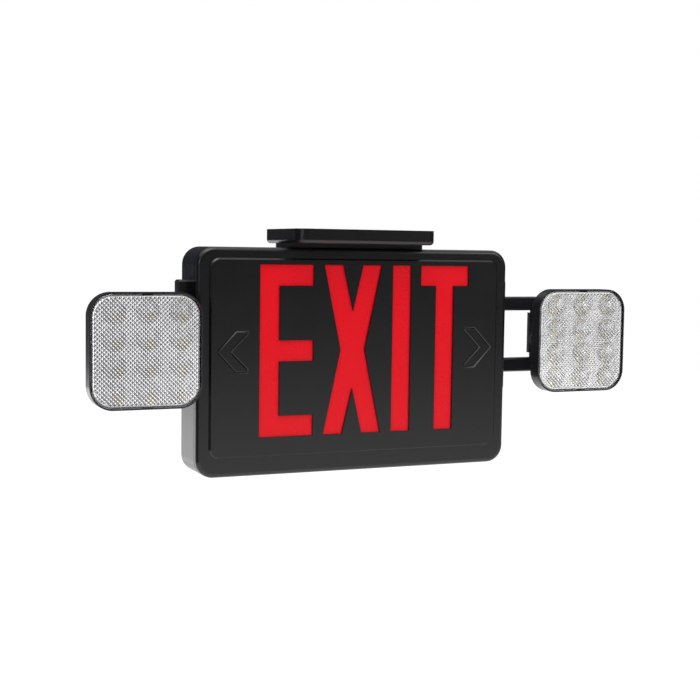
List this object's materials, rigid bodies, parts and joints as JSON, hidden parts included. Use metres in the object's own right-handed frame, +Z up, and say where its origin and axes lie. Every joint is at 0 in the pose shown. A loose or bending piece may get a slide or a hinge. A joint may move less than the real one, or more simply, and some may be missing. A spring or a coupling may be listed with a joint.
{
  "type": "emergency exit light",
  "caption": "Ceiling-hung lettered exit sign with a battery-backed lamp head on a sliding U-shaped arm at each side.",
  "frame": {"origin": "centre of the canopy's ceiling plane, midway between its two screw holes", "axes": "-Y is the lettered front, +X the reader's right, +Z up towards the ceiling"},
  "size_m": [0.5235, 0.088, 0.2207],
  "materials": {
    "black_abs": "fine satin texture",
    "black_arm": "semi-gloss",
    "red_acrylic": "translucent satin",
    "white_plastic": "satin",
    "clear_lens": "prismatic clear",
    "reflector_metal": "vacuum metallised",
    "white_board": "solder mask",
    "green_board": "solder mask",
    "led_yellow": "phosphor",
    "led_red": "clear red",
    "zinc_screw": "bright zinc",
    "black_screw": "black oxide",
    "core_steel": "laminated",
    "relay_black": "satin",
    "capacitor_can": "sleeved",
    "terminal_green": "satin",
    "battery_wrap": "shrink film",
    "strap_steel": "zinc plated",
    "lead_pvc": "PVC",
    "button_red": "satin",
    "indicator_green": "clear green"
  },
  "bodies": {
    "housing": {"battery_lead": "lead_pvc", "battery_pack": "battery_wrap", "battery_strap": "strap_steel", "board_capacitors": "capacitor_can", "board_screws": "zinc_screw", "canopy": "black_abs", "charge_indicator": "indicator_green", "charger_board": "green_board", "front_cover": "black_abs", "left_arm_guide": "black_abs", "lower_led_strip": "white_board", "lower_sign_leds": "led_red", "rear_housing": "black_abs", "red_diffuser": "red_acrylic", "reflector_tray": "white_plastic", "relay": "relay_black", "right_arm_guide": "black_abs", "sign_lead": "lead_pvc", "strap_screws": "zinc_screw", "terminal_block": "terminal_green", "test_switch": "relay_black", "transformer": "core_steel", "upper_led_strip": "white_board", "upper_sign_leds": "led_red"},
    "test_button": {"test_button": "button_red"},
    "left_arm": {"left_arm": "black_arm"},
    "left_knuckle": {"left_swivel_knuckle": "black_arm"},
    "left_head": {"left_head_shell": "black_arm", "left_head_reflector": "reflector_metal", "left_head_led_board": "white_board", "left_head_leds": "led_yellow", "left_head_lens": "clear_lens", "left_head_screws": "black_screw", "left_tilt_screw": "black_screw", "left_tilt_nut": "black_screw"},
    "right_arm": {"right_arm": "black_arm"},
    "right_knuckle": {"right_swivel_knuckle": "black_arm"},
    "right_head": {"right_head_shell": "black_arm", "right_head_reflector": "reflector_metal", "right_head_led_board": "white_board", "right_head_leds": "led_yellow", "right_head_lens": "clear_lens", "right_head_screws": "black_screw", "right_tilt_screw": "black_screw", "right_tilt_nut": "black_screw"}
  },
  "joints": [
    {"name": "test_button_press", "type": "slide", "parent": "housing", "child": "test_button", "axis": [0, 0, 1], "range_m": [0, 0.0015], "stiffness_N_per_m": 300, "springref_m": -0.002},
    {"name": "left_arm_slide", "type": "slide", "parent": "housing", "child": "left_arm", "axis": [-1, 0, 0], "range_m": [0, 0.0245]},
    {"name": "left_head_pan", "type": "hinge", "parent": "left_arm", "child": "left_knuckle", "pos_m": [-0.1775, 0.005, -0.0978], "axis": [0, 0, -1], "range_deg": [0, 90]},
    {"name": "left_head_tilt", "type": "hinge", "parent": "left_knuckle", "child": "left_head", "pos_m": [-0.1775, -0.0155, -0.1041], "axis": [1, 0, 0], "range_deg": [-24, 24]},
    {"name": "right_arm_slide", "type": "slide", "parent": "housing", "child": "right_arm", "axis": [1, 0, 0], "range_m": [-0.0245, 0]},
    {"name": "right_head_pan", "type": "hinge", "parent": "right_arm", "child": "right_knuckle", "pos_m": [0.202, 0.005, -0.0978], "axis": [0, 0, 1], "range_deg": [0, 90]},
    {"name": "right_head_tilt", "type": "hinge", "parent": "right_knuckle", "child": "right_head", "pos_m": [0.202, -0.0155, -0.1017], "axis": [1, 0, 0], "range_deg": [-24, 24]}
  ]
}
